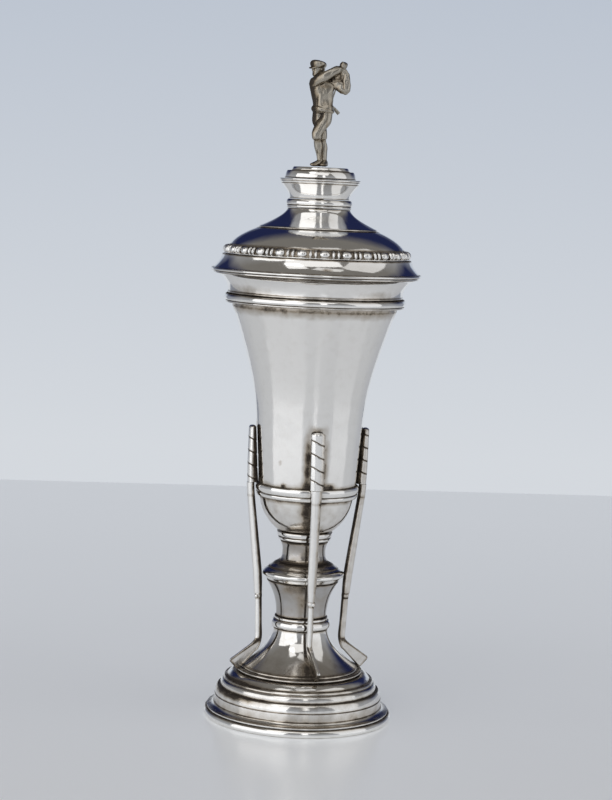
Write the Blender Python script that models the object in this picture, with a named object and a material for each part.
"""Covered golf trophy: a flared cup on a stepped foot, propped by four clubs, with a golfer on its lid.

Lengths are in metres. The origin is the centre of the foot's underside, +Z is up and the front
faces -Y. Every level is found from the piece below it, so a changed size carries the rest along.
"""

import math

import bmesh
import bpy
from mathutils import Matrix, Vector
from mathutils.geometry import interpolate_bezier

# Gauges, seats and facets: EDGE is the small set-back where a turned edge is eased
CLEARANCE = 0.0003
EDGE = 0.0003
SHEET = 0.0009
WIDE_STEPS = 28
NARROW_STEPS = 20
ROD_STEPS = 12
NUT_STEPS = 6

# Foot: widths are steps outward from the riser's lip, heights are steps upward
CONE_LIP_RADIUS = 0.0283
CONE_LIP_HEIGHT = 0.0007
BASE_BEAD = 0.0009
BASE_BEAD_GAP = 0.0008
FOOT_LEDGE = 0.0003
SHOULDER_WIDTH = 0.0056
SHOULDER_HEIGHT = 0.0040
MIDDLE_STEP_WIDTH = 0.0015
MIDDLE_STEP_HEIGHT = 0.0035
LOWER_LEDGE = 0.0006
LOWER_STEP_WIDTH = 0.0021
LOWER_STEP_HEIGHT = 0.0045
BAND_HEIGHT = 0.0038
COVE_WIDTH = 0.0036
COVE_HEIGHT = 0.0020
FLANGE_THICKNESS = 0.0007
RIM_WIRE_REACH = 0.0016
RIM_WIRE_WIDTH = 0.0040
RIM_WIRE_HEIGHT = 0.0035

# Riser and stem
CONE_HEIGHT = 0.0213
CONE_TOP_RADIUS = 0.0132
LOWER_COLLAR_REACH = 0.0014
LOWER_COLLAR_HEIGHT = 0.0055
LOWER_STEM_WAIST = 0.0123
LOWER_STEM_HEIGHT = 0.0176
LOWER_STEM_FLARE = 0.0052
KNOP_REACH = 0.0027
KNOP_HEIGHT = 0.0086
KNOP_SHOULDER = 0.0030
KNOP_RIM_DROP = 0.0013
UPPER_STEM_FOOT = 0.0126
UPPER_STEM_WAIST = 0.0105
UPPER_STEM_TOP = 0.0118
UPPER_STEM_HEIGHT = 0.0104
UPPER_COLLAR_RADIUS = 0.0139
UPPER_COLLAR_HEIGHT = 0.0044
UPPER_COLLAR_SWELL = 0.0007
STEM_BORE = 0.0090

# Draw rod through the stem
ROD_RADIUS = 0.0020
ROD_HOLE_GAP = 0.0004
WASHER_RADIUS = 0.0085
WASHER_THICKNESS = 0.0012
NUT_RADIUS = 0.0042
NUT_THICKNESS = 0.0032
ROD_END = 0.0015

# Cup
BOWL_RADIUS = 0.0228
GIRDLE_GROWTH = 0.0011
WALL_HEIGHT = 0.0854
WALL_WAIST_RADIUS = 0.0270
WALL_WAIST_HEIGHT = 0.0405
WALL_WAIST_PULL = 0.0015
MOUTH_RADIUS = 0.0397
MOUTH_LIP_HEIGHT = 0.0059
GIRDLE_REACH = 0.0018
GIRDLE_HEIGHT = 0.0063
GIRDLE_DROP = 0.0018
RIM_MOULDING_REACH = 0.0040
RIM_MOULDING_HEIGHT = 0.0042

# Clubs
CLUB_NAMES = ("front", "right", "back", "left")
CLUB_TURN = math.radians(9.5)
CLUB_LEAN = 0.0013
CLUB_SIDES = 8
GRIP_RISE = 0.0278
GRIP_WIDTH = 0.0068
GRIP_DEPTH = 0.0036
GRIP_CAP = 0.0014
SHAFT_WIDTH = 0.0054
SHAFT_DEPTH = 0.0034
KNOP_SHAFT_DEPTH = 0.0040
FERRULE_WIDTH = 0.0036
FERRULE_SWELL = 0.0002
FERRULE_LENGTH = 0.0022
HOSEL_LENGTH = 0.0232
HOSEL_WIDTH = 0.0028
HOSEL_DEPTH = 0.0035
HOSEL_SET = 0.0010
HEAD_TURN = math.radians(10.0)
SOLE_LENGTH = 0.0165
SOLE_ANGLE = math.radians(43.0)
SOLE_OVERHANG = 0.0010
HEEL_HEIGHT = 0.0040
TOE_HEIGHT = 0.0062
BLADE_THICKNESS = 0.0019

# Lid
BEZEL_GAP = 0.0004
FLANGE_SEAT_WIDTH = 0.0036
LID_FLANGE_HEIGHT = 0.0103
LID_FLANGE_REACH = 0.0072
BRIM_REACH = 0.0013
BRIM_THICKNESS = 0.0013
OGEE_HEIGHT = 0.0067
OGEE_WIDTH = 0.0053
BAND_WIDTH = 0.0031
BAND_RISE = 0.0043
DOME_WIDTH = 0.0134
DOME_HEIGHT = 0.0089
CROWN_RISE = 0.0014
MILLED_REPEATS = 26
MILLED_BEAD_RISE = 0.0009
MILLED_BAR_RISE = 0.0012
MILLED_SLANT = 0.07
MILLED_CHAMFER = 0.0003
MILLED_DOME = 0.0007

# Finial
NECK_SETBACK = 0.0004
NECK_LIP_HEIGHT = 0.0006
NECK_HEIGHT = 0.0090
NECK_TOP_RADIUS = 0.0151
NECK_COLLAR_RADIUS = 0.0160
NECK_COLLAR_HEIGHT = 0.0041
NECK_COLLAR_SWELL = 0.0010
PEDESTAL_WAIST = 0.0144
PEDESTAL_LIP = 0.0196
PEDESTAL_HEIGHT = 0.0094
PLINTH_LOWER_RADIUS = 0.0173
PLINTH_LOWER_HEIGHT = 0.0037
PLINTH_UPPER_RADIUS = 0.0138
PLINTH_UPPER_HEIGHT = 0.0017
STUD_RADIUS = 0.0020
STUD_GRIP = 0.0028
FINIAL_WASHER_RADIUS = 0.0070
FINIAL_NUT_RADIUS = 0.0040
FINIAL_NUT_THICKNESS = 0.0030

# Golfer: the body is laid out in head heights, seven and a half to the figure
GOLFER_HEIGHT = 0.0512
GOLFER_HEADS = 7.5
GOLFER_CLUB_RADIUS = 0.0005
GOLFER_BLADE_LENGTH = 0.0058
GOLFER_BLADE_HEIGHT = 0.0015
GOLFER_BLADE_THICKNESS = 0.0009


# Outline helpers: points are (radius, height) pairs

def bend(start, pull_start, pull_end, end, spans):
    """Points along one cubic curve, both ends included."""
    knots = [Vector((radius, height, 0.0)) for radius, height in (start, pull_start, pull_end, end)]
    return [(point.x, point.y) for point in interpolate_bezier(*knots, spans + 1)]


def quarter(start, end, spans, hollow=False):
    """Quarter ellipse from start to end: a swelling ovolo, or a hollow cove."""
    points = []
    for step in range(spans + 1):
        angle = math.radians(90.0) * step / spans
        across = math.sin(angle) if hollow else 1.0 - math.cos(angle)
        rise = 1.0 - math.cos(angle) if hollow else math.sin(angle)
        points.append((start[0] + (end[0] - start[0]) * across, start[1] + (end[1] - start[1]) * rise))
    return points


def half_round(bottom, top, reach, spans):
    """Outward bulge from bottom to top, reach wide at its middle."""
    points = []
    for step in range(spans + 1):
        share = step / spans
        bulge = reach * math.sin(math.pi * share)
        rise = (1.0 - math.cos(math.pi * share)) / 2.0
        height = bottom[1] + (top[1] - bottom[1]) * rise
        points.append((bottom[0] + (top[0] - bottom[0]) * rise + bulge, height))
    return points


def inset(points, distance):
    """The same line moved to its left, which is inward for a line that runs up the outside."""
    moved = []
    for index, point in enumerate(points):
        here = Vector(point)
        before = Vector(points[max(index - 1, 0)])
        after = Vector(points[min(index + 1, len(points) - 1)])
        along = (after - before).normalized()
        moved.append((here.x - along.y * distance, here.y + along.x * distance))
    return moved


def spool_lining(points):
    """Inner line of a spool's sheet, top to bottom and cut level at both ends, with every other point."""
    inner = inset(points, SHEET)
    inner[0] = (points[0][0] - SHEET, points[0][1])
    inner[-1] = (points[-1][0] - SHEET, points[-1][1])
    return [inner[-1]] + inner[-3:0:-2] + [inner[0]]


def radius_at(points, height):
    """Radius of an outline at a height between two of its points."""
    for (radius_a, height_a), (radius_b, height_b) in zip(points, points[1:]):
        if min(height_a, height_b) <= height <= max(height_a, height_b) and height_a != height_b:
            return radius_a + (radius_b - radius_a) * (height - height_a) / (height_b - height_a)
    return points[-1][0]


def height_at(points, radius):
    """Height of an outline at a radius between two of its points."""
    return radius_at([(height, radius) for radius, height in points], radius)


# Mesh helpers

def silver(name, shade, roughness):
    """A polished silver finish of one shade."""
    material = bpy.data.materials.new(name)
    material.use_nodes = True
    shader = material.node_tree.nodes["Principled BSDF"]
    shader.inputs["Base Color"].default_value = (shade, shade * 0.985, shade * 0.96, 1.0)
    shader.inputs["Metallic"].default_value = 1.0
    shader.inputs["Roughness"].default_value = roughness
    return material


def add_object(name, mesh, shade=0.86, roughness=0.16, crease=32.0):
    """Close a bmesh into a named, smooth-shaded object with a finish of its own."""
    bmesh.ops.recalc_face_normals(mesh, faces=mesh.faces)
    data = bpy.data.meshes.new(name)
    mesh.to_mesh(data)
    mesh.free()
    data.shade_smooth()
    data.set_sharp_from_angle(angle=math.radians(crease))
    data.materials.append(silver(name, shade, roughness))
    thing = bpy.data.objects.new(name, data)
    bpy.context.collection.objects.link(thing)
    return thing


def turned(name, outline, steps, shade=0.86, roughness=0.16):
    """Solid of revolution: the outline is a closed loop, or starts and ends on the axis."""
    mesh = bmesh.new()
    points = [mesh.verts.new((radius, 0.0, height)) for radius, height in outline]
    edges = [mesh.edges.new(pair) for pair in zip(points, points[1:])]
    if outline[0][0] > 0.0:
        edges.append(mesh.edges.new((points[-1], points[0])))
    bmesh.ops.spin(mesh, geom=points + edges, axis=(0.0, 0.0, 1.0), cent=(0.0, 0.0, 0.0),
                   angle=math.tau, steps=steps, use_merge=True)
    bmesh.ops.remove_doubles(mesh, verts=mesh.verts, dist=1e-6)
    return add_object(name, mesh, shade, roughness)


def oval(centre, side, up, half_side, half_up, sides, squareness=2.0):
    """Ring of points round a centre, an ellipse that grows squarer with the exponent."""
    ring = []
    for step in range(sides):
        angle = math.tau * (step + 0.5) / sides
        across = math.copysign(abs(math.cos(angle)) ** (2.0 / squareness), math.cos(angle))
        rise = math.copysign(abs(math.sin(angle)) ** (2.0 / squareness), math.sin(angle))
        ring.append(centre + side * (half_side * across) + up * (half_up * rise))
    return ring


def lofted(rings):
    """Closed skin through rings of equal count, with flat ends."""
    mesh = bmesh.new()
    loops = [[mesh.verts.new(point) for point in ring] for ring in rings]
    for lower, upper in zip(loops, loops[1:]):
        for index in range(len(lower)):
            after = (index + 1) % len(lower)
            mesh.faces.new((lower[index], lower[after], upper[after], upper[index]))
    mesh.faces.new(loops[0])
    mesh.faces.new(loops[-1])
    return mesh


# Levels and widths that neighbours share

BASE_BEAD_CENTRE = CONE_LIP_RADIUS + BASE_BEAD_GAP + BASE_BEAD
FOOT_TOP_RADIUS = BASE_BEAD_CENTRE + BASE_BEAD + FOOT_LEDGE
SHOULDER_RADIUS = FOOT_TOP_RADIUS + SHOULDER_WIDTH
MIDDLE_STEP_RADIUS = SHOULDER_RADIUS + MIDDLE_STEP_WIDTH
BAND_RADIUS = MIDDLE_STEP_RADIUS + LOWER_LEDGE + LOWER_STEP_WIDTH
FLANGE_RADIUS = BAND_RADIUS + COVE_WIDTH
RIM_RADIUS = FLANGE_RADIUS + RIM_WIRE_REACH

FLANGE_BOTTOM = RIM_WIRE_HEIGHT + CLEARANCE
BAND_BOTTOM = FLANGE_BOTTOM + FLANGE_THICKNESS + COVE_HEIGHT
BAND_TOP = BAND_BOTTOM + BAND_HEIGHT
LOWER_STEP_TOP = BAND_TOP + LOWER_STEP_HEIGHT
MIDDLE_STEP_TOP = LOWER_STEP_TOP + MIDDLE_STEP_HEIGHT
FOOT_TOP = MIDDLE_STEP_TOP + SHOULDER_HEIGHT

CONE_BOTTOM = FOOT_TOP + CLEARANCE
BASE_BEAD_TOP = CONE_BOTTOM + 2.0 * BASE_BEAD
CONE_LIP_TOP = BASE_BEAD_TOP + CONE_LIP_HEIGHT
CONE_TOP = CONE_BOTTOM + CONE_HEIGHT
LOWER_COLLAR_BOTTOM = CONE_TOP + CLEARANCE
LOWER_STEM_BOTTOM = LOWER_COLLAR_BOTTOM + LOWER_COLLAR_HEIGHT + CLEARANCE
KNOP_BOTTOM = LOWER_STEM_BOTTOM + LOWER_STEM_HEIGHT + CLEARANCE
KNOP_EDGE = KNOP_BOTTOM + 0.38 * KNOP_HEIGHT
KNOP_RADIUS = LOWER_STEM_WAIST + LOWER_STEM_FLARE + KNOP_REACH
UPPER_STEM_BOTTOM = KNOP_BOTTOM + KNOP_HEIGHT + CLEARANCE
UPPER_COLLAR_BOTTOM = UPPER_STEM_BOTTOM + UPPER_STEM_HEIGHT + CLEARANCE
UPPER_COLLAR_EDGE = UPPER_COLLAR_RADIUS - UPPER_COLLAR_SWELL
UPPER_COLLAR_TOP = UPPER_COLLAR_BOTTOM + UPPER_COLLAR_HEIGHT

BOWL_SEAT_RADIUS = BOWL_RADIUS + CLEARANCE
BOWL_CENTRE = UPPER_COLLAR_TOP + math.sqrt(BOWL_SEAT_RADIUS ** 2 - UPPER_COLLAR_EDGE ** 2)
WALL_BOTTOM = BOWL_CENTRE + GIRDLE_HEIGHT - GIRDLE_DROP
WALL_BOTTOM_RADIUS = BOWL_RADIUS + GIRDLE_GROWTH
GIRDLE_BOTTOM = BOWL_CENTRE - GIRDLE_DROP
GIRDLE_TOP = GIRDLE_BOTTOM + GIRDLE_HEIGHT
GIRDLE_RADIUS = WALL_BOTTOM_RADIUS + GIRDLE_REACH - CLEARANCE
LIP_BOTTOM = WALL_BOTTOM + WALL_HEIGHT
CUP_TOP = LIP_BOTTOM + MOUTH_LIP_HEIGHT

LID_BOTTOM = CUP_TOP + CLEARANCE
BEZEL_RADIUS = MOUTH_RADIUS - SHEET - BEZEL_GAP
LID_INNER_RADIUS = BEZEL_RADIUS + CLEARANCE
LID_FLANGE_FOOT = LID_INNER_RADIUS + FLANGE_SEAT_WIDTH
LID_FLANGE_RADIUS = LID_FLANGE_FOOT + LID_FLANGE_REACH
LID_FLANGE_TOP = LID_BOTTOM + LID_FLANGE_HEIGHT
BRIM_BOTTOM = LID_FLANGE_TOP + CLEARANCE
BRIM_RADIUS = LID_FLANGE_RADIUS + BRIM_REACH
OGEE_TOP = BRIM_BOTTOM + BRIM_THICKNESS + OGEE_HEIGHT
OGEE_RADIUS = BRIM_RADIUS - OGEE_WIDTH
DOME_FOOT_RADIUS = OGEE_RADIUS - BAND_WIDTH
DOME_FOOT = OGEE_TOP + BAND_RISE
DOME_TOP_RADIUS = DOME_FOOT_RADIUS - DOME_WIDTH
DOME_TOP = DOME_FOOT + DOME_HEIGHT
CROWN_TOP = DOME_TOP + CROWN_RISE

NECK_RADIUS = DOME_TOP_RADIUS - NECK_SETBACK
NECK_BOTTOM = DOME_TOP + CLEARANCE
NECK_TOP = NECK_BOTTOM + NECK_LIP_HEIGHT + NECK_HEIGHT
NECK_COLLAR_BOTTOM = NECK_TOP + CLEARANCE
PEDESTAL_BOTTOM = NECK_COLLAR_BOTTOM + NECK_COLLAR_HEIGHT + CLEARANCE
PEDESTAL_TOP = PEDESTAL_BOTTOM + PEDESTAL_HEIGHT
PLINTH_BOTTOM = PEDESTAL_TOP + CLEARANCE
PLINTH_TOP = PLINTH_BOTTOM + PLINTH_LOWER_HEIGHT + PLINTH_UPPER_HEIGHT
GOLFER_BOTTOM = PLINTH_TOP + CLEARANCE
STUD_HOLE = STUD_RADIUS + ROD_HOLE_GAP
HEAD = GOLFER_HEIGHT / GOLFER_HEADS


def foot_outline():
    """Outer line of the stepped foot, flange to top opening."""
    flange_top = FLANGE_BOTTOM + FLANGE_THICKNESS
    points = [(FLANGE_RADIUS, FLANGE_BOTTOM)]
    points += quarter((FLANGE_RADIUS, flange_top), (BAND_RADIUS, BAND_BOTTOM), 2, hollow=True)
    points += quarter((BAND_RADIUS, BAND_TOP), (BAND_RADIUS - LOWER_STEP_WIDTH, LOWER_STEP_TOP), 3)
    points += quarter((MIDDLE_STEP_RADIUS, LOWER_STEP_TOP), (SHOULDER_RADIUS, MIDDLE_STEP_TOP), 2)
    points += quarter((SHOULDER_RADIUS, MIDDLE_STEP_TOP), (FOOT_TOP_RADIUS, FOOT_TOP), 3)[1:]
    return points


def wall_outline():
    """Outer line of the cup from the bowl's pole to the lip."""
    points = [(0.0, BOWL_CENTRE - BOWL_RADIUS)]
    for step in range(5):
        angle = math.radians(-60.0 + 15.0 * step)
        points.append((BOWL_RADIUS * math.cos(angle), BOWL_CENTRE + BOWL_RADIUS * math.sin(angle)))
    waist = (WALL_WAIST_RADIUS, WALL_BOTTOM + WALL_WAIST_HEIGHT)
    rise_below = WALL_WAIST_HEIGHT / 3.0
    rise_above = (WALL_HEIGHT - WALL_WAIST_HEIGHT) / 3.0
    flare = MOUTH_RADIUS - WALL_WAIST_RADIUS
    swell = WALL_BOTTOM_RADIUS + GIRDLE_GROWTH
    lower = bend((WALL_BOTTOM_RADIUS, WALL_BOTTOM), (swell, WALL_BOTTOM + rise_below),
                 (WALL_WAIST_RADIUS - WALL_WAIST_PULL, waist[1] - rise_below), waist, 2)
    upper = bend(waist, (WALL_WAIST_RADIUS + 0.15 * flare, waist[1] + rise_above),
                 (MOUTH_RADIUS - 0.22 * flare, LIP_BOTTOM - 0.5 * rise_above), (MOUTH_RADIUS, LIP_BOTTOM), 5)
    return points + lower + upper[1:]


def build_foot():
    """Rim wire, stepped foot and riser."""
    inner = RIM_RADIUS - RIM_WIRE_WIDTH
    shoulder = 0.2 * RIM_WIRE_HEIGHT
    flat = [(inner, 0.0), (RIM_RADIUS - shoulder, 0.0)]
    swell = [(RIM_RADIUS, 0.45 * RIM_WIRE_HEIGHT), (RIM_RADIUS - 0.3 * shoulder, RIM_WIRE_HEIGHT - shoulder)]
    turned("foot_rim_wire", flat + swell + [(RIM_RADIUS - 1.6 * shoulder, RIM_WIRE_HEIGHT),
                                            (inner, RIM_WIRE_HEIGHT)], WIDE_STEPS, shade=0.84)

    outer = foot_outline()
    opening = CONE_LIP_RADIUS - 2.0 * SHEET
    lining = [(BAND_RADIUS - SHEET, FLANGE_BOTTOM), (BAND_RADIUS - SHEET, BAND_TOP),
              (MIDDLE_STEP_RADIUS - SHEET, LOWER_STEP_TOP - SHEET),
              (SHOULDER_RADIUS - SHEET, MIDDLE_STEP_TOP - 0.5 * SHEET),
              (FOOT_TOP_RADIUS, FOOT_TOP - SHEET), (opening, FOOT_TOP - SHEET)]
    turned("stepped_foot", outer + [(opening, FOOT_TOP)] + lining[::-1], WIDE_STEPS)

    bead = [(BASE_BEAD_CENTRE, CONE_BOTTOM), (BASE_BEAD_CENTRE + BASE_BEAD, CONE_BOTTOM + BASE_BEAD),
            (BASE_BEAD_CENTRE, BASE_BEAD_TOP)]
    spread = CONE_LIP_RADIUS - CONE_TOP_RADIUS
    rise = CONE_TOP - CONE_LIP_TOP
    flare = bend((CONE_LIP_RADIUS, CONE_LIP_TOP),
                 (CONE_TOP_RADIUS + 0.60 * spread, CONE_LIP_TOP + 0.22 * rise),
                 (CONE_TOP_RADIUS + 0.05 * spread, CONE_TOP - 0.45 * rise), (CONE_TOP_RADIUS, CONE_TOP), 6)
    lining = inset(flare[:-1], SHEET)[::2]
    lining[0] = (opening, CONE_BOTTOM)
    rod_hole = ROD_RADIUS + ROD_HOLE_GAP
    plate = [(rod_hole, CONE_TOP), (rod_hole, CONE_TOP - SHEET), (CONE_TOP_RADIUS - SHEET, CONE_TOP - SHEET)]
    lip = [(CONE_LIP_RADIUS + 0.3 * BASE_BEAD_GAP, BASE_BEAD_TOP)]
    turned("foot_cone", bead + lip + flare + plate + lining[::-1], WIDE_STEPS, shade=0.85)


def build_stem():
    """The turned pieces between riser and bowl."""
    foot = CONE_TOP_RADIUS + 0.4 * LOWER_COLLAR_REACH
    collar_top = LOWER_COLLAR_BOTTOM + LOWER_COLLAR_HEIGHT
    ring = half_round((foot, LOWER_COLLAR_BOTTOM), (CONE_TOP_RADIUS - 0.2 * LOWER_COLLAR_REACH, collar_top),
                      0.9 * LOWER_COLLAR_REACH, 4)
    turned("lower_collar", ring + [(STEM_BORE, collar_top), (STEM_BORE, LOWER_COLLAR_BOTTOM)], NARROW_STEPS)

    stem_top = LOWER_STEM_BOTTOM + LOWER_STEM_HEIGHT
    straight = LOWER_STEM_BOTTOM + 0.45 * LOWER_STEM_HEIGHT
    flare = bend((LOWER_STEM_WAIST, LOWER_STEM_BOTTOM), (LOWER_STEM_WAIST, straight),
                 (LOWER_STEM_WAIST + 0.45 * LOWER_STEM_FLARE, stem_top - 0.28 * LOWER_STEM_HEIGHT),
                 (LOWER_STEM_WAIST + LOWER_STEM_FLARE, stem_top), 5)
    turned("lower_stem", flare + spool_lining(flare), NARROW_STEPS, shade=0.84)

    under = LOWER_STEM_WAIST + LOWER_STEM_FLARE
    knop_top = KNOP_BOTTOM + KNOP_HEIGHT
    underside = [(STEM_BORE, KNOP_BOTTOM), (under, KNOP_BOTTOM),
                 (under + 0.6 * KNOP_REACH, KNOP_EDGE - KNOP_RIM_DROP)]
    shoulder = quarter((KNOP_RADIUS, KNOP_EDGE), (UPPER_STEM_FOOT + KNOP_SHOULDER, knop_top - 2.0 * EDGE), 3)
    seat = [(UPPER_STEM_FOOT + EDGE, knop_top), (STEM_BORE, knop_top)]
    turned("knop_disc", underside + shoulder + seat, WIDE_STEPS)

    top = UPPER_STEM_BOTTOM + UPPER_STEM_HEIGHT
    middle = UPPER_STEM_BOTTOM + 0.50 * UPPER_STEM_HEIGHT
    tight = 0.30 * UPPER_STEM_HEIGHT
    lower = bend((UPPER_STEM_FOOT, UPPER_STEM_BOTTOM),
                 (UPPER_STEM_WAIST + 2.0 * EDGE, UPPER_STEM_BOTTOM + 0.4 * tight),
                 (UPPER_STEM_WAIST, middle - tight), (UPPER_STEM_WAIST, middle), 3)
    upper = bend((UPPER_STEM_WAIST, middle), (UPPER_STEM_WAIST, middle + tight),
                 (UPPER_STEM_TOP - EDGE, top - 0.4 * tight), (UPPER_STEM_TOP, top), 3)
    spool = lower + upper[1:]
    turned("upper_stem", spool + spool_lining(spool), NARROW_STEPS, shade=0.84)

    groove = UPPER_COLLAR_BOTTOM + 0.38 * UPPER_COLLAR_HEIGHT
    small = half_round((UPPER_STEM_TOP + EDGE, UPPER_COLLAR_BOTTOM), (UPPER_COLLAR_EDGE - 2.0 * EDGE, groove),
                       UPPER_COLLAR_SWELL, 2)
    large = half_round((UPPER_COLLAR_EDGE - EDGE, groove), (UPPER_COLLAR_EDGE, UPPER_COLLAR_TOP),
                       UPPER_COLLAR_SWELL, 3)
    seat_inner = STEM_BORE + SHEET
    seat = [(seat_inner, BOWL_CENTRE - math.sqrt(BOWL_SEAT_RADIUS ** 2 - seat_inner ** 2))]
    turned("upper_collar", small + large[1:] + seat + [(seat_inner, UPPER_COLLAR_BOTTOM)], NARROW_STEPS)


def build_rod():
    """Draw rod soldered under the bowl, with its washer and nut beneath the riser's top plate."""
    washer_top = CONE_TOP - SHEET - CLEARANCE
    washer_bottom = washer_top - WASHER_THICKNESS
    nut_top = washer_bottom - CLEARANCE
    rod_bottom = nut_top - NUT_THICKNESS - ROD_END
    rod_top = BOWL_CENTRE - BOWL_RADIUS - CLEARANCE
    hole = ROD_RADIUS + ROD_HOLE_GAP
    rod = [(0.0, rod_bottom), (ROD_RADIUS, rod_bottom), (ROD_RADIUS, rod_top), (0.0, rod_top)]
    turned("stem_rod", rod, ROD_STEPS, shade=0.55, roughness=0.35)
    turned("stem_washer", [(hole, washer_bottom), (WASHER_RADIUS, washer_bottom), (WASHER_RADIUS, washer_top),
                           (hole, washer_top)], NARROW_STEPS, shade=0.62, roughness=0.35)
    turned("stem_nut", [(hole, nut_top - NUT_THICKNESS), (NUT_RADIUS, nut_top - NUT_THICKNESS),
                        (NUT_RADIUS, nut_top), (hole, nut_top)], NUT_STEPS, shade=0.60, roughness=0.40)


def build_cup():
    """Vessel, girdle ring and rim moulding."""
    outer = wall_outline() + [(MOUTH_RADIUS, CUP_TOP)]
    lining = inset(outer[1:-1], SHEET)[1::2]
    inside = [(0.0, BOWL_CENTRE - BOWL_RADIUS + SHEET)] + lining
    inside += [(MOUTH_RADIUS - SHEET, LIP_BOTTOM), (MOUTH_RADIUS - SHEET, CUP_TOP)]
    turned("cup_body", outer + inside[::-1], WIDE_STEPS, shade=0.88, roughness=0.12)

    seat = [(radius_at(outer, GIRDLE_BOTTOM) + CLEARANCE, GIRDLE_BOTTOM),
            (BOWL_RADIUS + CLEARANCE, BOWL_CENTRE), (WALL_BOTTOM_RADIUS + CLEARANCE, GIRDLE_TOP)]
    swell = half_round((seat[0][0] + 3.0 * EDGE, GIRDLE_BOTTOM), (seat[2][0] + EDGE, GIRDLE_TOP), 0.0, 4)
    reach = [0.0, 0.8, 1.0, 0.8, 0.0]
    ring = [(radius + (GIRDLE_RADIUS - radius) * share, height)
            for (radius, height), share in zip(swell, reach)]
    turned("girdle_ring", ring + seat[::-1], WIDE_STEPS, shade=0.84)

    inner = MOUTH_RADIUS + CLEARANCE
    bottom = CUP_TOP - RIM_MOULDING_HEIGHT
    moulding = [(inner, bottom), (inner + 0.78 * RIM_MOULDING_REACH, bottom + EDGE),
                (inner + RIM_MOULDING_REACH, bottom + 0.45 * RIM_MOULDING_HEIGHT),
                (inner + 0.93 * RIM_MOULDING_REACH, CUP_TOP - EDGE),
                (inner + 0.80 * RIM_MOULDING_REACH, CUP_TOP), (inner, CUP_TOP)]
    turned("cup_rim_moulding", moulding, WIDE_STEPS, shade=0.85)


def club_path():
    """Shaft centre line in its own upright plane, top to bottom, with the blade's heel and directions."""
    outer = wall_outline()
    grip_top = GIRDLE_TOP + GRIP_RISE
    sole = Vector((-math.cos(SOLE_ANGLE), math.sin(SOLE_ANGLE)))
    face = Vector((math.sin(SOLE_ANGLE), math.cos(SOLE_ANGLE)))
    bead = Vector((BASE_BEAD_CENTRE, CONE_BOTTOM + BASE_BEAD))
    toe = bead + face * (BASE_BEAD + CLEARANCE) - sole * SOLE_OVERHANG
    heel = toe + sole * SOLE_LENGTH
    shaft_foot = heel + face * (0.5 * HEEL_HEIGHT) + Vector((0.0, HOSEL_SET))
    knots = [Vector((radius_at(outer, grip_top) + CLEARANCE + 0.5 * GRIP_DEPTH, grip_top)),
             Vector((GIRDLE_RADIUS + CLEARANCE + 0.5 * SHAFT_DEPTH, GIRDLE_BOTTOM + 0.5 * GIRDLE_HEIGHT)),
             Vector((KNOP_RADIUS + CLEARANCE + 0.5 * KNOP_SHAFT_DEPTH, KNOP_EDGE)),
             Vector((shaft_foot.x, shaft_foot.y))]
    return knots, heel, sole, face


def shaft_point(knots, height):
    """Centre of the shaft at a height, on a smooth line through the knots that leans a little sideways."""
    for index in range(len(knots) - 1):
        if knots[index].y >= height >= knots[index + 1].y:
            break
    start, end = knots[index], knots[index + 1]
    before = knots[max(index - 1, 0)]
    after = knots[min(index + 2, len(knots) - 1)]
    slope_start = (end.x - before.x) / (end.y - before.y)
    slope_end = (after.x - start.x) / (after.y - start.y)
    drop = end.y - start.y
    share = (height - start.y) / drop
    blend = share * share * (3.0 - 2.0 * share)
    lead = share * (1.0 - share) ** 2
    trail = share * share * (share - 1.0)
    radius = start.x + (end.x - start.x) * blend + drop * (slope_start * lead + slope_end * trail)
    lean = CLUB_LEAN * (knots[0].y - height) / (knots[0].y - knots[-1].y)
    return Vector((radius, lean, height))


def station(knots, height, width, depth):
    """One level oval across the shaft."""
    return oval(shaft_point(knots, height), Vector((0.0, 1.0, 0.0)), Vector((1.0, 0.0, 0.0)),
                0.5 * width, 0.5 * depth, CLUB_SIDES, 2.6)


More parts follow.
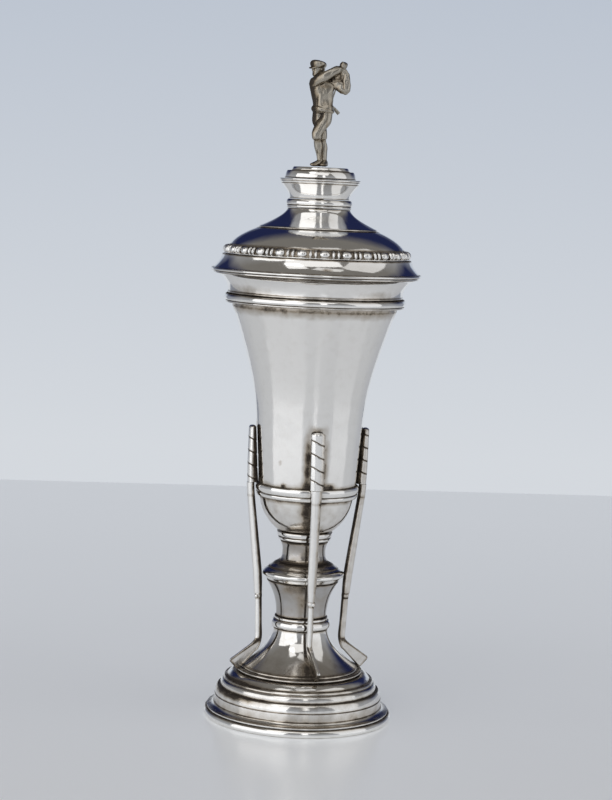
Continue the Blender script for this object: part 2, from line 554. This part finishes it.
def build_clubs():
    """Four clubs as struts, heads down: each a grip, a shaft and an iron head."""
    knots, heel, sole, face = club_path()
    grip_top = knots[0].y
    grip_bottom = GIRDLE_TOP + CLEARANCE
    hosel_top = knots[3].y + HOSEL_LENGTH
    grip = [station(knots, grip_top, 0.5 * GRIP_WIDTH, 0.5 * GRIP_DEPTH),
            station(knots, grip_top - EDGE, 0.85 * GRIP_WIDTH, 0.85 * GRIP_DEPTH),
            station(knots, grip_top - GRIP_CAP, GRIP_WIDTH, GRIP_DEPTH),
            station(knots, 0.5 * (grip_top + grip_bottom), 0.97 * GRIP_WIDTH, GRIP_DEPTH),
            station(knots, grip_bottom, 0.93 * GRIP_WIDTH, GRIP_DEPTH)]

    knop_width = 0.5 * (SHAFT_WIDTH + FERRULE_WIDTH)
    shaft_end_width = FERRULE_WIDTH - FERRULE_SWELL
    half_way = 0.5 * (GIRDLE_BOTTOM + KNOP_EDGE)
    shaft = [station(knots, grip_bottom - CLEARANCE, SHAFT_WIDTH, SHAFT_DEPTH),
             station(knots, GIRDLE_BOTTOM, 0.5 * (SHAFT_WIDTH + knop_width), SHAFT_DEPTH),
             station(knots, half_way, knop_width, 0.5 * (SHAFT_DEPTH + KNOP_SHAFT_DEPTH)),
             station(knots, KNOP_EDGE, knop_width, KNOP_SHAFT_DEPTH),
             station(knots, hosel_top + CLEARANCE, shaft_end_width, HOSEL_DEPTH)]

    head = [station(knots, hosel_top, shaft_end_width, HOSEL_DEPTH),
            station(knots, hosel_top - 0.35 * FERRULE_LENGTH, FERRULE_WIDTH + FERRULE_SWELL,
                    HOSEL_DEPTH + FERRULE_SWELL),
            station(knots, hosel_top - FERRULE_LENGTH, HOSEL_WIDTH, HOSEL_DEPTH),
            station(knots, knots[3].y, 0.9 * HOSEL_WIDTH, HOSEL_DEPTH)]
    swing = Matrix.Rotation(HEAD_TURN, 3, "Z")
    pivot = Vector((heel.x, CLUB_LEAN, heel.y))
    along = swing @ Vector((-sole.x, 0.0, -sole.y))
    upright = swing @ Vector((face.x, 0.0, face.y))
    side = swing @ Vector((0.0, 1.0, 0.0))
    for share in (0.14, 0.34, 1.0):
        height = HEEL_HEIGHT + (TOE_HEIGHT - HEEL_HEIGHT) * share
        thickness = BLADE_THICKNESS * (1.0 + 0.25 * (1.0 - share))
        root = pivot + along * (SOLE_LENGTH * share)
        head.append(oval(root + upright * (0.5 * height), side, upright, 0.5 * thickness, 0.5 * height,
                         CLUB_SIDES, 6.0))

    for index, place in enumerate(CLUB_NAMES):
        turn = Matrix.Rotation(math.radians(-90.0) + CLUB_TURN + math.tau * index / len(CLUB_NAMES), 4, "Z")
        for piece, rings, shade in (("grip", grip, 0.80), ("shaft", shaft, 0.84), ("head", head, 0.82)):
            mesh = lofted(rings)
            thing = add_object(f"club_{place}_{piece}", mesh, shade, 0.2)
            thing.matrix_world = turn


def lid_outlines():
    """Outer and inner line of the lid's cover, brim to stud hole."""
    brim_top = BRIM_BOTTOM + BRIM_THICKNESS
    brim = [(BRIM_RADIUS - EDGE, BRIM_BOTTOM), (BRIM_RADIUS, BRIM_BOTTOM + 0.4 * BRIM_THICKNESS)]
    ogee = bend((BRIM_RADIUS - EDGE, brim_top),
                (BRIM_RADIUS - 0.6 * OGEE_WIDTH, brim_top + 0.30 * OGEE_HEIGHT),
                (OGEE_RADIUS + 2.0 * EDGE, OGEE_TOP - 0.30 * OGEE_HEIGHT), (OGEE_RADIUS, OGEE_TOP), 3)
    dome = bend((DOME_FOOT_RADIUS, DOME_FOOT),
                (DOME_FOOT_RADIUS - 0.12 * DOME_WIDTH, DOME_FOOT + 0.36 * DOME_HEIGHT),
                (DOME_FOOT_RADIUS - 0.55 * DOME_WIDTH, DOME_TOP - 0.22 * DOME_HEIGHT),
                (DOME_TOP_RADIUS, DOME_TOP), 5)
    crown = [(STUD_HOLE, CROWN_TOP)]
    outer = brim + ogee + [(DOME_FOOT_RADIUS, OGEE_TOP)] + dome + crown
    under = [(BRIM_RADIUS - 5.0 * SHEET, BRIM_BOTTOM), (OGEE_RADIUS - SHEET, brim_top + 0.45 * OGEE_HEIGHT),
             (DOME_FOOT_RADIUS - SHEET, OGEE_TOP - 0.3 * SHEET)]
    inner = under + inset(dome, SHEET)[::2] + [(STUD_HOLE, CROWN_TOP - SHEET)]
    return outer, inner


def build_lid():
    """Flange, bezel and cover: everything below the finial that lifts off."""
    flange = bend((LID_FLANGE_FOOT, LID_BOTTOM), (LID_FLANGE_FOOT, LID_BOTTOM + 0.48 * LID_FLANGE_HEIGHT),
                  (LID_FLANGE_FOOT + 0.42 * LID_FLANGE_REACH, LID_FLANGE_TOP - 0.10 * LID_FLANGE_HEIGHT),
                  (LID_FLANGE_RADIUS, LID_FLANGE_TOP - 2.0 * EDGE), 5)
    top = [(LID_FLANGE_RADIUS, LID_FLANGE_TOP), (LID_FLANGE_RADIUS - 4.0 * SHEET, LID_FLANGE_TOP)]
    back = inset(flange[1:-1], SHEET)[::2]
    foot = [(LID_INNER_RADIUS, LID_BOTTOM + SHEET), (LID_INNER_RADIUS, LID_BOTTOM)]
    turned("lid_flange", flange + top + back[::-1] + foot, WIDE_STEPS, shade=0.84)

    bezel_bottom = LIP_BOTTOM + CLEARANCE
    bezel_top = LID_BOTTOM + SHEET + 2.0 * EDGE
    inner = BEZEL_RADIUS - SHEET
    turned("lid_bezel", [(inner, bezel_bottom), (BEZEL_RADIUS, bezel_bottom), (BEZEL_RADIUS, bezel_top),
                         (inner, bezel_top)], WIDE_STEPS, shade=0.84)

    outer, inner = lid_outlines()
    turned("lid_cover", outer + inner[::-1], WIDE_STEPS, shade=0.87, roughness=0.14)


def build_milled_band():
    """Bead and reel round the foot of the dome: swelling beads with two slanting bars between them."""
    bottom = OGEE_TOP + CLEARANCE
    top = DOME_FOOT
    back = DOME_FOOT_RADIUS + CLEARANCE
    front = OGEE_RADIUS - MILLED_BAR_RISE - 0.5 * EDGE
    fillet = bottom + 0.27 * (top - bottom)
    cells = (("bead", 0.0), ("bar", 0.50), ("bar", 0.75))
    mesh = bmesh.new()
    columns = []
    for repeat in range(MILLED_REPEATS):
        for kind, phase in cells:
            column = []
            for radius, height, lean in ((back, bottom, 0.0), (front, bottom, 0.0), (front, fillet, -0.5),
                                         (front, top, 0.5), (back, top, 0.5)):
                angle = math.tau * (repeat + phase + lean * MILLED_SLANT) / MILLED_REPEATS
                column.append(mesh.verts.new((radius * math.cos(angle), radius * math.sin(angle), height)))
            columns.append((kind, column))
    raised = {"bead": [], "bar": []}
    for index, (kind, column) in enumerate(columns):
        _, after = columns[(index + 1) % len(columns)]
        for lower in range(len(column)):
            upper = (lower + 1) % len(column)
            face = mesh.faces.new((column[lower], after[lower], after[upper], column[upper]))
            if lower == 2:
                raised[kind].append(face)
    bmesh.ops.recalc_face_normals(mesh, faces=mesh.faces)
    for kind, thickness, depth in (("bead", MILLED_CHAMFER, 0.6 * MILLED_BEAD_RISE),
                                   ("bead", MILLED_DOME, 0.4 * MILLED_BEAD_RISE),
                                   ("bar", MILLED_CHAMFER, 0.7 * MILLED_BAR_RISE)):
        bmesh.ops.inset_individual(mesh, faces=raised[kind], thickness=thickness, depth=depth)
    add_object("bead_and_reel_band", mesh, shade=0.80, roughness=0.22)


def build_finial_base():
    """Neck, collar, pedestal and plinth, with the stud, washer and nut that hold them to the lid."""
    lip = [(NECK_RADIUS, NECK_BOTTOM), (NECK_RADIUS, NECK_BOTTOM + NECK_LIP_HEIGHT)]
    slope_start = NECK_BOTTOM + NECK_LIP_HEIGHT
    flare = bend((NECK_RADIUS - EDGE, slope_start + 0.5 * EDGE),
                 (NECK_RADIUS - 0.45 * (NECK_RADIUS - NECK_TOP_RADIUS), slope_start + 0.30 * NECK_HEIGHT),
                 (NECK_TOP_RADIUS + 3.0 * EDGE, NECK_TOP - 0.37 * NECK_HEIGHT),
                 (NECK_TOP_RADIUS, NECK_TOP), 5)
    lining = inset(flare[:-1], SHEET)[::2]
    plate = [(STUD_HOLE, NECK_TOP), (STUD_HOLE, NECK_TOP - SHEET),
             (NECK_TOP_RADIUS - SHEET, NECK_TOP - SHEET)]
    cover, _ = lid_outlines()
    foot_inner = NECK_RADIUS - 2.0 * SHEET
    foot = [(foot_inner, height_at(cover[-2:], foot_inner) + CLEARANCE)]
    turned("lid_neck", lip + flare + plate + lining[:0:-1] + foot, NARROW_STEPS, shade=0.85)

    collar_top = NECK_COLLAR_BOTTOM + NECK_COLLAR_HEIGHT
    groove = NECK_COLLAR_BOTTOM + 0.30 * NECK_COLLAR_HEIGHT
    foot = NECK_TOP_RADIUS + EDGE
    large = half_round((NECK_COLLAR_RADIUS - 2.0 * EDGE, groove), (PEDESTAL_WAIST + EDGE, collar_top),
                       NECK_COLLAR_SWELL, 4)
    turned("neck_collar", [(STUD_HOLE, NECK_COLLAR_BOTTOM), (foot, NECK_COLLAR_BOTTOM), (foot, groove - EDGE)]
           + large + [(STUD_HOLE, collar_top)], NARROW_STEPS)

    body = bend((PEDESTAL_WAIST, PEDESTAL_BOTTOM), (PEDESTAL_WAIST, PEDESTAL_BOTTOM + 0.30 * PEDESTAL_HEIGHT),
                (PEDESTAL_LIP - 4.0 * EDGE, PEDESTAL_TOP - 0.25 * PEDESTAL_HEIGHT),
                (PEDESTAL_LIP - 2.0 * EDGE, PEDESTAL_TOP - 3.0 * EDGE), 4)
    lip = [(PEDESTAL_LIP, PEDESTAL_TOP - 2.0 * EDGE), (PEDESTAL_LIP, PEDESTAL_TOP), (STUD_HOLE, PEDESTAL_TOP)]
    turned("finial_pedestal", [(STUD_HOLE, PEDESTAL_BOTTOM)] + body + lip, NARROW_STEPS, shade=0.84)

    tier = PLINTH_BOTTOM + PLINTH_LOWER_HEIGHT
    swell = half_round((PLINTH_LOWER_RADIUS - EDGE, PLINTH_BOTTOM), (PLINTH_LOWER_RADIUS - 5.0 * EDGE, tier),
                       2.0 * EDGE, 3)
    blind = PLINTH_BOTTOM + STUD_GRIP + CLEARANCE
    turned("finial_plinth", [(0.0, blind), (STUD_HOLE, blind), (STUD_HOLE, PLINTH_BOTTOM)] + swell
           + [(PLINTH_UPPER_RADIUS, tier), (PLINTH_UPPER_RADIUS - 0.5 * EDGE, PLINTH_TOP - 2.0 * EDGE),
              (PLINTH_UPPER_RADIUS - 3.0 * EDGE, PLINTH_TOP), (0.0, PLINTH_TOP)], NARROW_STEPS)

    washer_top = CROWN_TOP - SHEET - CLEARANCE - CROWN_RISE * FINIAL_WASHER_RADIUS / DOME_TOP_RADIUS
    washer_bottom = washer_top - WASHER_THICKNESS
    nut_top = washer_bottom - CLEARANCE
    nut_bottom = nut_top - FINIAL_NUT_THICKNESS
    stud_top = PLINTH_BOTTOM + STUD_GRIP
    stud_bottom = nut_bottom - ROD_END
    stud = [(0.0, stud_bottom), (STUD_RADIUS, stud_bottom), (STUD_RADIUS, stud_top), (0.0, stud_top)]
    turned("finial_stud", stud, ROD_STEPS, shade=0.55, roughness=0.35)
    turned("finial_washer", [(STUD_HOLE, washer_bottom), (FINIAL_WASHER_RADIUS, washer_bottom),
                             (FINIAL_WASHER_RADIUS, washer_top), (STUD_HOLE, washer_top)], NARROW_STEPS,
           shade=0.62, roughness=0.35)
    turned("finial_nut", [(STUD_HOLE, nut_bottom), (FINIAL_NUT_RADIUS, nut_bottom),
                          (FINIAL_NUT_RADIUS, nut_top), (STUD_HOLE, nut_top)], NUT_STEPS,
           shade=0.60, roughness=0.40)


# Golfer: places and sizes in head heights, x to the viewer's right, y away from the viewer, z up

def limb(name, stations, sides):
    """Closed limb through (x, y, z, half width, half depth) stations, each cut square to the path."""
    places = [Vector(spot[:3]) for spot in stations]
    level = abs((places[-1] - places[0]).normalized().x) > 0.7
    guide = Vector((0.0, 0.0, 1.0)) if level else Vector((1.0, 0.0, 0.0))
    rings = []
    for index, spot in enumerate(stations):
        along = places[min(index + 1, len(places) - 1)] - places[max(index - 1, 0)]
        side = (guide - along * (guide.dot(along) / along.length_squared)).normalized()
        depth = along.normalized().cross(side)
        rings.append(oval(places[index], side, depth, spot[3], spot[4], sides, 2.3))
    mesh = lofted([[point * HEAD for point in ring] for ring in rings])
    piece = add_object(name, mesh, crease=50.0)
    piece.location.z = GOLFER_BOTTOM
    piece.hide_render = True
    piece.display_type = "WIRE"
    return piece


def golfer_limbs():
    """The pieces that the figure is cast from, apart from the trunk."""
    limbs = [
        ("near_leg", ((-0.05, -0.06, 0.30, 0.14, 0.15), (-0.07, -0.07, 0.64, 0.14, 0.16),
                      (-0.20, -0.20, 1.30, 0.22, 0.25), (-0.30, -0.30, 1.88, 0.24, 0.26),
                      (-0.37, -0.38, 2.02, 0.34, 0.36), (-0.38, -0.38, 2.34, 0.34, 0.38),
                      (0.12, -0.16, 3.20, 0.40, 0.40), (0.20, -0.10, 3.95, 0.38, 0.40)), 8),
        ("far_leg", ((0.28, 0.14, 0.30, 0.14, 0.15), (0.27, 0.14, 0.64, 0.14, 0.16),
                     (0.18, 0.12, 1.30, 0.20, 0.25), (0.08, 0.04, 1.86, 0.22, 0.26),
                     (0.02, 0.00, 2.00, 0.32, 0.34), (0.02, -0.06, 2.34, 0.32, 0.36),
                     (-0.28, 0.10, 3.20, 0.42, 0.40), (-0.32, 0.10, 3.95, 0.38, 0.40)), 8),
        ("near_shoe", ((0.08, 0.14, 0.15, 0.12, 0.11), (0.00, 0.02, 0.21, 0.17, 0.20),
                       (-0.24, -0.26, 0.17, 0.18, 0.16), (-0.46, -0.52, 0.13, 0.17, 0.12),
                       (-0.58, -0.66, 0.10, 0.10, 0.08)), 8),
        ("far_shoe", ((0.34, 0.36, 0.15, 0.12, 0.11), (0.30, 0.22, 0.21, 0.17, 0.20),
                      (0.24, -0.08, 0.17, 0.18, 0.16), (0.14, -0.40, 0.13, 0.17, 0.12),
                      (0.10, -0.56, 0.10, 0.10, 0.08)), 8),
        ("near_arm", ((-0.86, -0.02, 5.72, 0.30, 0.28), (-0.62, -0.30, 5.92, 0.36, 0.34),
                      (0.00, -0.58, 6.30, 0.31, 0.29), (0.55, -0.58, 6.60, 0.27, 0.26),
                      (0.98, -0.44, 6.84, 0.21, 0.20), (1.12, -0.38, 6.92, 0.17, 0.17)), 8),
        ("far_arm", ((0.36, 0.10, 5.90, 0.42, 0.32), (0.80, 0.02, 5.90, 0.49, 0.34),
                     (1.30, -0.14, 5.48, 0.35, 0.28), (1.54, -0.18, 5.28, 0.18, 0.18)), 8),
        ("far_forearm", ((1.46, -0.14, 5.08, 0.15, 0.15), (1.50, -0.15, 5.28, 0.28, 0.25),
                         (1.50, -0.18, 6.00, 0.26, 0.23), (1.40, -0.24, 6.72, 0.18, 0.17)), 8),
        ("fists", ((1.02, -0.40, 6.86, 0.16, 0.15), (1.14, -0.38, 6.98, 0.25, 0.23),
                   (1.34, -0.30, 7.04, 0.26, 0.24), (1.46, -0.22, 6.94, 0.17, 0.16)), 8),
        ("neck", ((-0.14, 0.06, 6.00, 0.26, 0.26), (-0.30, 0.00, 6.42, 0.23, 0.24),
                  (-0.44, -0.04, 6.75, 0.22, 0.24)), 8),
        ("head", ((-0.58, -0.18, 6.46, 0.14, 0.13), (-0.57, -0.12, 6.56, 0.28, 0.27),
                  (-0.55, -0.06, 6.78, 0.39, 0.39), (-0.53, -0.03, 7.04, 0.44, 0.44),
                  (-0.50, 0.01, 7.20, 0.42, 0.42)), 10),
        ("nose", ((-0.84, -0.27, 6.99, 0.06, 0.06), (-0.92, -0.35, 6.85, 0.10, 0.10),
                  (-0.86, -0.28, 6.75, 0.07, 0.07)), 6),
        ("cap", ((-0.52, -0.04, 6.98, 0.42, 0.48), (-0.50, -0.03, 7.08, 0.56, 0.60),
                 (-0.47, -0.01, 7.24, 0.55, 0.57), (-0.44, 0.01, 7.38, 0.39, 0.42),
                 (-0.43, 0.02, 7.44, 0.14, 0.16)), 10),
        ("peak", ((-0.60, -0.10, 7.02, 0.06, 0.34), (-0.92, -0.34, 6.96, 0.05, 0.28),
                  (-1.04, -0.44, 6.90, 0.04, 0.16)), 8),
    ]
    return [limb(name, stations, sides) for name, stations, sides in limbs]


def golfer_club_ends():
    """Butt and blade root of the golfer's own club, in metres above the plinth."""
    return Vector((1.35, -0.56, 7.38)) * HEAD, Vector((0.56, 1.26, 4.42)) * HEAD


def club_rod(radius, reach):
    """Round rod from the butt to the blade root, lengthened by reach at both ends."""
    butt, root = golfer_club_ends()
    along = (root - butt).normalized()
    side = along.cross(Vector((0.0, 0.0, 1.0))).normalized()
    up = side.cross(along)
    ends = (butt - along * reach, root + along * reach)
    return [oval(end, side, up, radius, radius, 8) for end in ends]


def build_golfer():
    """Cast figure, one union of lofted limbs, pierced by the club that the fists hold."""
    trunk = limb("golfer_figure", (
        (-0.06, 0.04, 3.66, 0.52, 0.44), (-0.06, 0.02, 3.74, 0.74, 0.58), (-0.06, 0.02, 4.02, 0.78, 0.60),
        (-0.04, 0.02, 4.36, 0.73, 0.54), (-0.08, 0.02, 4.70, 0.69, 0.48), (-0.12, 0.00, 5.20, 0.80, 0.52),
        (-0.16, 0.00, 5.66, 0.90, 0.50), (-0.14, 0.02, 5.98, 0.72, 0.38),
        (-0.14, 0.04, 6.14, 0.34, 0.26)), 12)
    trunk.hide_render = False
    trunk.display_type = "TEXTURED"
    moulds = bpy.data.collections.new("golfer_moulds")
    bpy.context.scene.collection.children.link(moulds)
    for piece in golfer_limbs():
        bpy.context.collection.objects.unlink(piece)
        moulds.objects.link(piece)
    join = trunk.modifiers.new("cast together", "BOOLEAN")
    join.operation = "UNION"
    join.operand_type = "COLLECTION"
    join.collection = moulds

    bore = add_object("golfer_club_bore", lofted(club_rod(GOLFER_CLUB_RADIUS + CLEARANCE, SHEET)))
    bore.location.z = GOLFER_BOTTOM
    bore.hide_render = True
    bore.display_type = "WIRE"
    pierce = trunk.modifiers.new("club bore", "BOOLEAN")
    pierce.operation = "DIFFERENCE"
    pierce.object = bore

    rings = club_rod(GOLFER_CLUB_RADIUS, 0.0)
    _, root = golfer_club_ends()
    toward = Vector((0.68, -0.05, -0.73)).normalized()
    across = Vector((0.0, 1.0, 0.0))
    rise = toward.cross(across).normalized()
    for share, height in ((0.25, 0.7 * GOLFER_BLADE_HEIGHT), (1.0, GOLFER_BLADE_HEIGHT)):
        centre = root + toward * (GOLFER_BLADE_LENGTH * share)
        rings.append(oval(centre, across, rise, 0.5 * GOLFER_BLADE_THICKNESS, 0.5 * height, 8, 4.0))
    club = add_object("golfer_club", lofted(rings), shade=0.80, roughness=0.22)
    club.location.z = GOLFER_BOTTOM


def main():
    """Empty the scene and build the trophy."""
    for thing in list(bpy.data.objects):
        bpy.data.objects.remove(thing)
    build_foot()
    build_stem()
    build_rod()
    build_cup()
    build_clubs()
    build_lid()
    build_milled_band()
    build_finial_base()
    build_golfer()


main()
